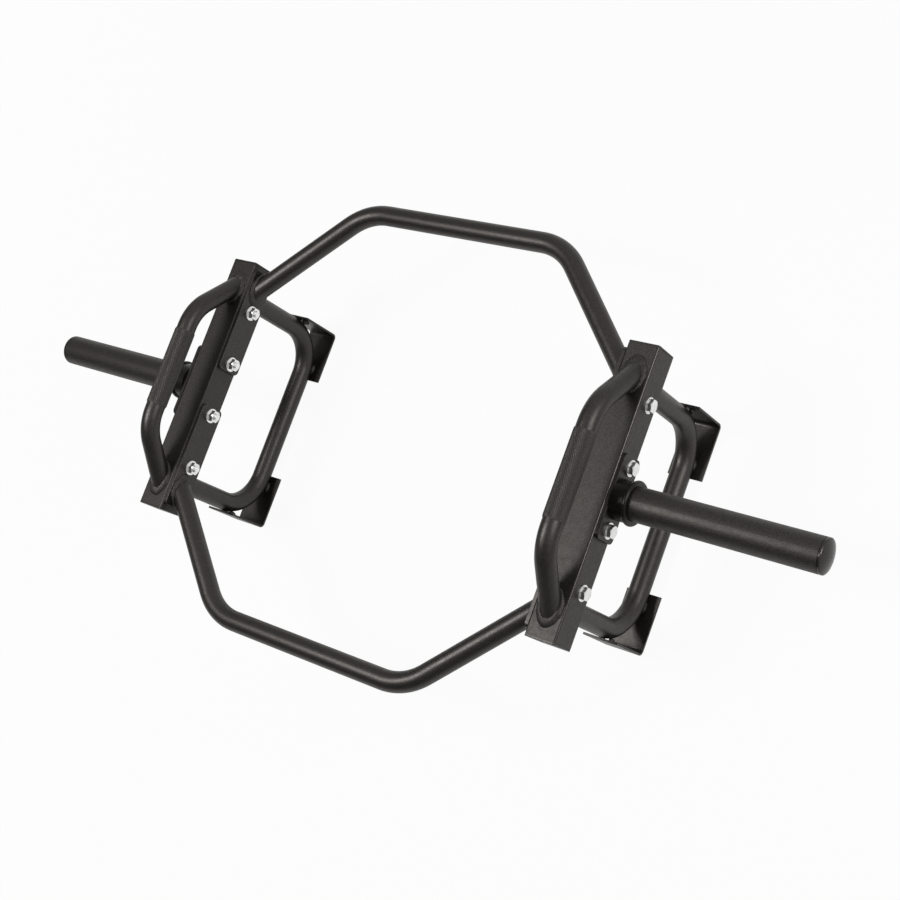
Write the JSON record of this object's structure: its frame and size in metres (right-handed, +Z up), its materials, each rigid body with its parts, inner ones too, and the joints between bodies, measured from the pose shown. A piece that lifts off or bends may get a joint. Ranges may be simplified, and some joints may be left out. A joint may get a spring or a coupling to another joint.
{
  "type": "hex trap bar",
  "caption": "Open hexagonal weight-lifting frame with raised side handles, plate sleeves on both sides and stand loops that hold it off the floor.",
  "frame": {"origin": "on the floor, midway between the feet", "axes": "+X along the right weight sleeve, +Y along the side beams to the rear, +Z up through the handles"},
  "size_m": [1.4682, 0.7226, 0.3372],
  "materials": {
    "frame_coat": "fine-grained satin black powder coat on steel",
    "cap_plastic": "moulded black plastic",
    "fastener_zinc": "bright zinc plated steel"
  },
  "bodies": {
    "root": {"front_frame_tube": "frame_coat", "left_frame_bolts": "fastener_zinc", "left_front_beam_cap": "cap_plastic", "left_front_foot_bracket": "frame_coat", "left_front_frame_plate": "frame_coat", "left_handle": "frame_coat", "left_head_washers": "fastener_zinc", "left_nut_washers": "fastener_zinc", "left_nuts": "fastener_zinc", "left_rear_beam_cap": "cap_plastic", "left_rear_foot_bracket": "frame_coat", "left_rear_frame_plate": "frame_coat", "left_side_beam": "frame_coat", "left_sleeve": "frame_coat", "left_sleeve_bolts": "fastener_zinc", "left_sleeve_cap": "cap_plastic", "left_sleeve_collar": "frame_coat", "left_sleeve_flange": "frame_coat", "left_sleeve_hub": "frame_coat", "left_stand_loop": "frame_coat", "rear_frame_tube": "frame_coat", "right_frame_bolts": "fastener_zinc", "right_front_beam_cap": "cap_plastic", "right_front_foot_bracket": "frame_coat", "right_front_frame_plate": "frame_coat", "right_handle": "frame_coat", "right_head_washers": "fastener_zinc", "right_nut_washers": "fastener_zinc", "right_nuts": "fastener_zinc", "right_rear_beam_cap": "cap_plastic", "right_rear_foot_bracket": "frame_coat", "right_rear_frame_plate": "frame_coat", "right_side_beam": "frame_coat", "right_sleeve": "frame_coat", "right_sleeve_bolts": "fastener_zinc", "right_sleeve_cap": "cap_plastic", "right_sleeve_collar": "frame_coat", "right_sleeve_flange": "frame_coat", "right_sleeve_hub": "frame_coat", "right_stand_loop": "frame_coat"}
  },
  "joints": []
}
